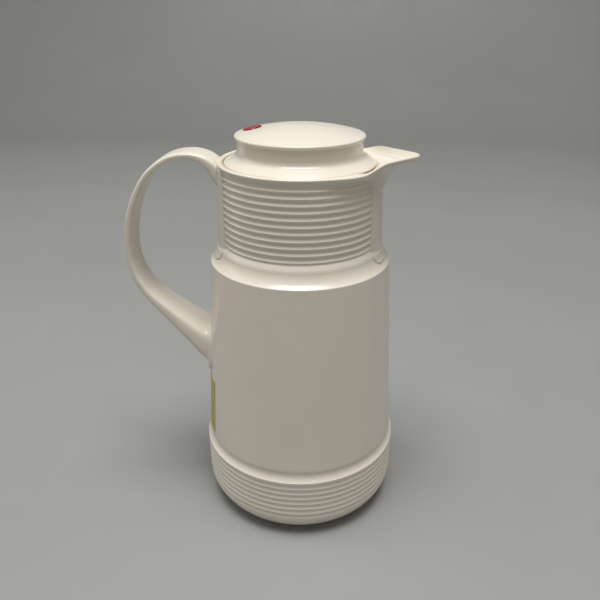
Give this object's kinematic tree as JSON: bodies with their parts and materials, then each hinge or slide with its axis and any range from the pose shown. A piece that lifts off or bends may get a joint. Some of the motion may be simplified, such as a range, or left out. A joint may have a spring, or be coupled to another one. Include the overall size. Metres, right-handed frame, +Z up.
{
  "type": "vacuum jug",
  "caption": "Ivory plastic vacuum jug with a ribbed neck, loop strap handle, pouring spout, screw stopper with a domed knob and a ribbed screw-on base cup.",
  "frame": {"origin": "centre of the resting face, on the jug's axis", "axes": "+Z up along the jug's axis, +X towards the spout, the handle on -X"},
  "size_m": [0.2119, 0.154, 0.2995],
  "materials": {
    "ivory_plastic": "glossy moulded, slightly yellowed",
    "inner_plastic": "satin moulded",
    "pale_rubber": "matte",
    "amber_rubber": "satin",
    "silvered_glass": "silvered glass",
    "spacer_felt": "matte",
    "insulation_foam": "foam",
    "red_plastic": "glossy",
    "label_paper": "printed foil, blank"
  },
  "bodies": {
    "jug": {"outer_casing": "ivory_plastic", "pour_collar": "ivory_plastic", "handle": "ivory_plastic", "neck_insert": "inner_plastic", "neck_gasket": "pale_rubber", "liner_inner_bottle": "silvered_glass", "liner_outer_bottle": "silvered_glass", "liner_spacers": "spacer_felt", "centring_ring": "pale_rubber", "body_label": "label_paper"},
    "stopper_carrier": {"stopper_seal": "amber_rubber"},
    "stopper": {"stopper_knob": "ivory_plastic", "stopper_plug": "inner_plastic", "stopper_insulation": "insulation_foam", "stopper_base_cap": "inner_plastic", "stopper_dot": "red_plastic"},
    "base_carrier": {"liner_cushion": "pale_rubber", "liner_support": "inner_plastic"},
    "base": {"base_cup": "ivory_plastic", "foot_ring": "pale_rubber"}
  },
  "joints": [
    {"name": "stopper_rise", "type": "slide", "parent": "jug", "child": "stopper_carrier", "axis": [0, 0, 1], "range_m": [0, 0.0481]},
    {"name": "stopper_turn", "type": "hinge", "parent": "stopper_carrier", "child": "stopper", "pos_m": [0, 0, 0.25], "axis": [0, 0, 1], "range_deg": [0, 1440]},
    {"name": "base_drop", "type": "slide", "parent": "jug", "child": "base_carrier", "axis": [0, 0, 1], "range_m": [-0.0541, 0]},
    {"name": "base_turn", "type": "hinge", "parent": "base_carrier", "child": "base", "pos_m": [0, 0, 0.03], "axis": [0, 0, 1], "range_deg": [-1080, 0]}
  ],
  "couplings": [
    {"joint": "stopper_rise", "follows": "stopper_turn", "m_per_rad": 0.0019099},
    {"joint": "base_drop", "follows": "base_turn", "m_per_rad": 0.0028648}
  ]
}
